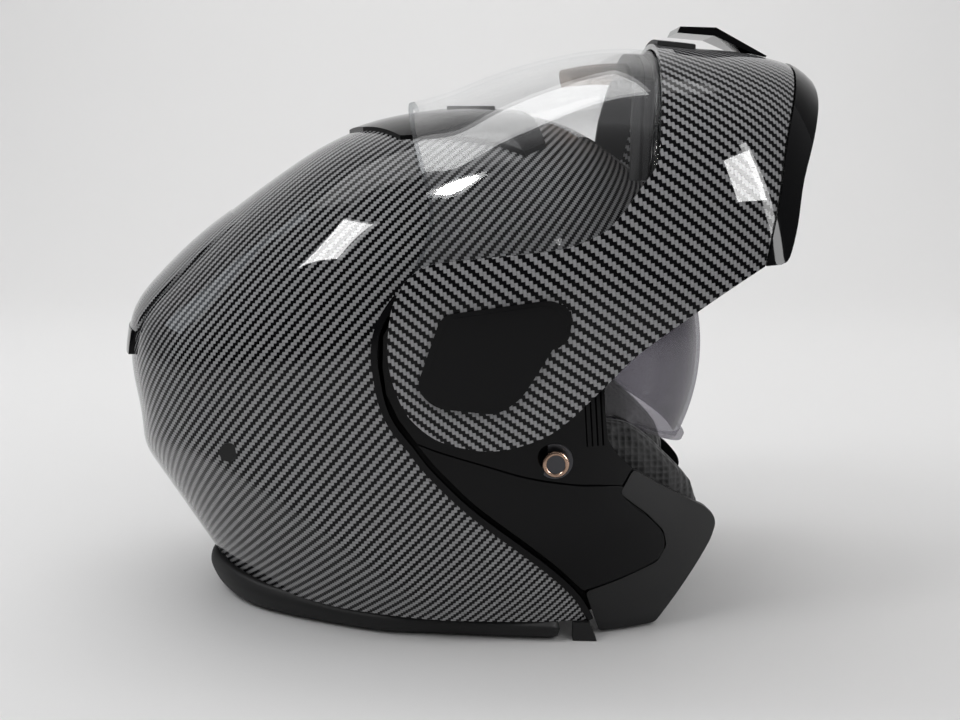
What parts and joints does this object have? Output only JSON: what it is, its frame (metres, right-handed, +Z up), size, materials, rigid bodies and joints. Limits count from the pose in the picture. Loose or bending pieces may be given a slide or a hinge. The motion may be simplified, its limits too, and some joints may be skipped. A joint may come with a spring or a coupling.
{
  "type": "modular motorcycle helmet",
  "caption": "Flip-up full-face helmet with a swinging chin bar, clear visor, drop-down sun visor, lined head cavity, slide vents and a ratchet chin strap.",
  "frame": {"origin": "middle of the footprint, on the table that the base ring stands on", "axes": "+X the way the wearer looks, +Y the wearer's left, +Z up"},
  "size_m": [0.3506, 0.2478, 0.2855],
  "materials": {
    "carbon_weave": "clear-coated twill weave",
    "gloss_black": "polished",
    "matt_black": "fine grained",
    "soft_trim": "matt",
    "foam": "moulded foam",
    "air_mesh": "spacer mesh",
    "webbing": "woven webbing",
    "steel": "turned",
    "copper_ring": "satin",
    "smoke_lens": "smoke tinted",
    "clear_lens": "clear",
    "breath_film": "frosted soft plastic"
  },
  "bodies": {
    "shell": {"outer_shell": "carbon_weave", "rear_spoiler": "gloss_black", "side_panel_right": "gloss_black", "side_panel_left": "gloss_black", "top_vent_housing": "gloss_black", "rear_vent_insert": "matt_black", "front_corner_right": "matt_black", "front_corner_left": "matt_black", "ring_end_right": "matt_black", "ring_end_left": "matt_black", "hinge_plate_right": "matt_black", "hinge_plate_left": "matt_black", "shell_plugs": "matt_black", "sun_visor_pins": "matt_black", "strap_anchor_right": "matt_black", "strap_anchor_left": "matt_black", "base_trim_ring": "soft_trim", "brow_seal": "soft_trim", "eps_liner": "foam", "side_foam_right": "foam", "side_foam_left": "foam", "crown_pad": "air_mesh", "neck_roll": "air_mesh", "cheek_pad_right": "air_mesh", "cheek_pad_left": "air_mesh", "chin_strap_right": "webbing", "chin_strap_left": "webbing", "hinge_screws": "steel", "hinge_pin_right": "steel", "hinge_pin_left": "steel", "latch_stud_right": "steel", "latch_stud_left": "steel", "buckle_base": "steel", "buckle_pin": "steel", "ratchet_tongue": "steel", "anchor_rivets": "steel", "stud_seat_right": "copper_ring", "stud_seat_left": "copper_ring"},
    "chin_bar": {"chin_bar_shell": "carbon_weave", "chin_bar_trim": "gloss_black", "chin_bar_liner": "foam", "eye_port_gasket": "soft_trim", "breath_deflector": "breath_film", "chin_vent_housing": "matt_black", "side_cover_right": "gloss_black", "side_cover_left": "gloss_black", "visor_pivot_pins": "steel", "latch_hook_pins": "steel", "release_housing": "matt_black"},
    "visor": {"visor_lens": "clear_lens"},
    "sun_visor": {"sun_visor_lens": "smoke_lens"},
    "sun_lever": {"sun_visor_lever": "matt_black"},
    "top_vent": {"top_vent_slider": "matt_black"},
    "chin_vent": {"chin_vent_slider": "gloss_black"},
    "release": {"release_button": "matt_black"},
    "hook_right": {"latch_hook_right": "steel"},
    "hook_left": {"latch_hook_left": "steel"},
    "buckle": {"buckle_lever": "matt_black"}
  },
  "joints": [
    {"name": "chin_bar_hinge", "type": "hinge", "parent": "shell", "child": "chin_bar", "pos_m": [0.003, 0, 0.14], "axis": [0, 1, 0], "range_deg": [0, 75]},
    {"name": "visor_hinge", "type": "hinge", "parent": "chin_bar", "child": "visor", "pos_m": [-0.01, 0, 0.13], "axis": [0, -1, 0], "range_deg": [0, 30]},
    {"name": "sun_visor_hinge", "type": "hinge", "parent": "shell", "child": "sun_visor", "pos_m": [0.018, 0, 0.128], "axis": [0, -1, 0], "range_deg": [0, 60]},
    {"name": "sun_lever_slide", "type": "slide", "parent": "shell", "child": "sun_lever", "axis": [0.9963, 0.0854, 0], "range_m": [0, 0.02]},
    {"name": "top_vent_slide", "type": "slide", "parent": "shell", "child": "top_vent", "axis": [1, 0, 0], "range_m": [0, 0.006]},
    {"name": "chin_vent_slide", "type": "slide", "parent": "chin_bar", "child": "chin_vent", "axis": [-0.9292, 0, 0.3696], "range_m": [0, 0.005]},
    {"name": "release_slide", "type": "slide", "parent": "chin_bar", "child": "release", "axis": [-0.6184, 0, 0.7859], "range_m": [0, 0.0025], "stiffness_N_per_m": 400, "springref_m": -0.002},
    {"name": "hook_right_hinge", "type": "hinge", "parent": "chin_bar", "child": "hook_right", "pos_m": [0.06581, -0.1099, 0.17814], "axis": [0, -1, 0], "range_deg": [0, 20]},
    {"name": "hook_left_hinge", "type": "hinge", "parent": "chin_bar", "child": "hook_left", "pos_m": [0.06581, 0.1099, 0.17814], "axis": [0, -1, 0], "range_deg": [0, 20]},
    {"name": "buckle_lever_hinge", "type": "hinge", "parent": "shell", "child": "buckle", "pos_m": [0.033, 0.0075, 0.0091], "axis": [-1, 0, 0], "range_deg": [0, 60], "stiffness_Nm_per_rad": 0.02, "springref_deg": -11.46}
  ],
  "couplings": [
    {"joint": "sun_lever_slide", "follows": "sun_visor_hinge", "m_per_rad": 0.019099},
    {"joint": "hook_right_hinge", "follows": "release_slide", "rad_per_m": 139.63},
    {"joint": "hook_left_hinge", "follows": "release_slide", "rad_per_m": 139.63}
  ]
}
